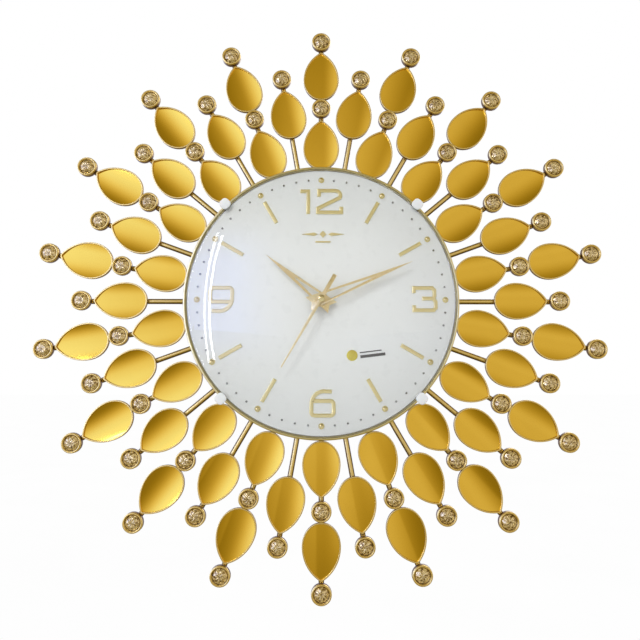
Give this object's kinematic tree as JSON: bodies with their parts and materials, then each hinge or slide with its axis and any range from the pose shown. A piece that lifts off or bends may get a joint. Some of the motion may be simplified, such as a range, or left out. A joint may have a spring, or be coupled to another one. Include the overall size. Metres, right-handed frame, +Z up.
{
  "type": "sunburst wall clock",
  "caption": "Round wall clock with a domed glass over a white dial, gold dart hands and a sunburst of rods, mirror petals and cut stones, driven by a battery quartz movement.",
  "frame": {"origin": "on the hand arbor's axis, in the wall plane that the back of the movement and the bumpers touch", "axes": "+Z up to twelve o'clock, +X to three o'clock, the dial faces -Y and +Y points into the wall"},
  "size_m": [0.5312, 0.038, 0.5392],
  "materials": {
    "gold_paint": "glossy metallic gold lacquer over steel",
    "gold_mirror": "gold mirror sheet, slightly satin",
    "champagne_crystal": "round cut champagne stone with foil behind",
    "zinc_steel": "bright zinc plating",
    "black_rubber": "matt",
    "white_plastic": "moulded, glossy",
    "dial_enamel": "glossy cool white",
    "clear_glass": "polished clear domed glass",
    "pale_gold": "polished pale gold plating",
    "hand_gold": "satin pale gold anodised",
    "silver_studs": "bright silver",
    "badge_gold": "glossy yellow gold",
    "badge_grey": "printed dark grey",
    "black_plastic": "moulded with fine texture",
    "gear_plastic": "moulded acetal",
    "brass": "turned",
    "rotor_magnet": "plated magnet",
    "coil_wire": "enamelled copper winding",
    "board_green": "solder mask",
    "battery_jacket": "printed film over steel"
  },
  "bodies": {
    "clock": {"ray_ring": "gold_paint", "wall_hanger": "zinc_steel", "wall_bumpers": "black_rubber", "long_ray_rods": "gold_paint", "short_ray_rods": "gold_paint", "inner_petal_frames": "gold_paint", "middle_petal_frames": "gold_paint", "outer_petal_frames": "gold_paint", "inner_petal_mirrors": "gold_mirror", "middle_petal_mirrors": "gold_mirror", "outer_petal_mirrors": "gold_mirror", "inner_jewel_cups": "gold_paint", "middle_jewel_cups": "gold_paint", "outer_jewel_cups": "gold_paint", "inner_jewels": "champagne_crystal", "middle_jewels": "champagne_crystal", "outer_jewels": "champagne_crystal", "back_case": "white_plastic", "case_spacers": "zinc_steel", "case_screws": "zinc_steel", "dial_plate": "dial_enamel", "dial_rim": "pale_gold", "dome_glass": "clear_glass", "glass_clips": "white_plastic", "numeral_twelve": "pale_gold", "numeral_three": "pale_gold", "numeral_six": "pale_gold", "numeral_nine": "pale_gold", "hour_batons": "pale_gold", "hour_beads": "pale_gold", "minute_studs": "silver_studs", "dial_ornament": "pale_gold", "dial_badge": "badge_gold", "badge_bars": "badge_grey", "movement_case": "black_plastic", "movement_cover": "black_plastic", "cover_screws": "zinc_steel", "gear_bridge": "gear_plastic", "rubber_washer": "black_rubber", "brass_washer": "brass", "bush_nut": "brass", "stator": "zinc_steel", "coil": "coil_wire", "circuit_board": "board_green", "quartz_crystal": "zinc_steel", "battery": "battery_jacket", "battery_contacts": "zinc_steel"},
    "hour": {"hour_wheel": "gear_plastic", "hour_hand": "hand_gold"},
    "minute": {"centre_wheel": "gear_plastic", "minute_hand": "hand_gold"},
    "seconds": {"seconds_wheel": "gear_plastic", "second_hand": "hand_gold", "second_hand_cap": "pale_gold"},
    "third": {"third_wheel": "gear_plastic"},
    "motion_work": {"minute_wheel": "gear_plastic", "setting_knob": "black_plastic"},
    "intermediate": {"intermediate_wheel": "gear_plastic"},
    "rotor": {"rotor": "rotor_magnet"}
  },
  "joints": [
    {"name": "minute_turn", "type": "hinge", "parent": "clock", "child": "minute", "pos_m": [0, 0, 0], "axis": [0, 1, 0], "continuous": true},
    {"name": "hour_turn", "type": "hinge", "parent": "clock", "child": "hour", "pos_m": [0, 0, 0], "axis": [0, 1, 0], "continuous": true},
    {"name": "second_turn", "type": "hinge", "parent": "clock", "child": "seconds", "pos_m": [0, 0, 0], "axis": [0, 1, 0], "continuous": true},
    {"name": "third_turn", "type": "hinge", "parent": "clock", "child": "third", "pos_m": [0.01224, 0, 0], "axis": [0, 1, 0], "continuous": true},
    {"name": "motion_work_turn", "type": "hinge", "parent": "clock", "child": "motion_work", "pos_m": [-0.013, 0, 0], "axis": [0, 1, 0], "continuous": true},
    {"name": "intermediate_turn", "type": "hinge", "parent": "clock", "child": "intermediate", "pos_m": [-0.00208, 0, 0.01182], "axis": [0, 1, 0], "continuous": true},
    {"name": "rotor_turn", "type": "hinge", "parent": "clock", "child": "rotor", "pos_m": [-0.00998, 0, 0.01469], "axis": [0, 1, 0], "continuous": true}
  ],
  "couplings": [
    {"joint": "hour_turn", "follows": "minute_turn", "ratio": 0.083333},
    {"joint": "second_turn", "follows": "minute_turn", "ratio": 60},
    {"joint": "third_turn", "follows": "minute_turn", "ratio": -8},
    {"joint": "motion_work_turn", "follows": "minute_turn", "ratio": -0.33333},
    {"joint": "intermediate_turn", "follows": "minute_turn", "ratio": -300},
    {"joint": "rotor_turn", "follows": "minute_turn", "ratio": 1800}
  ]
}
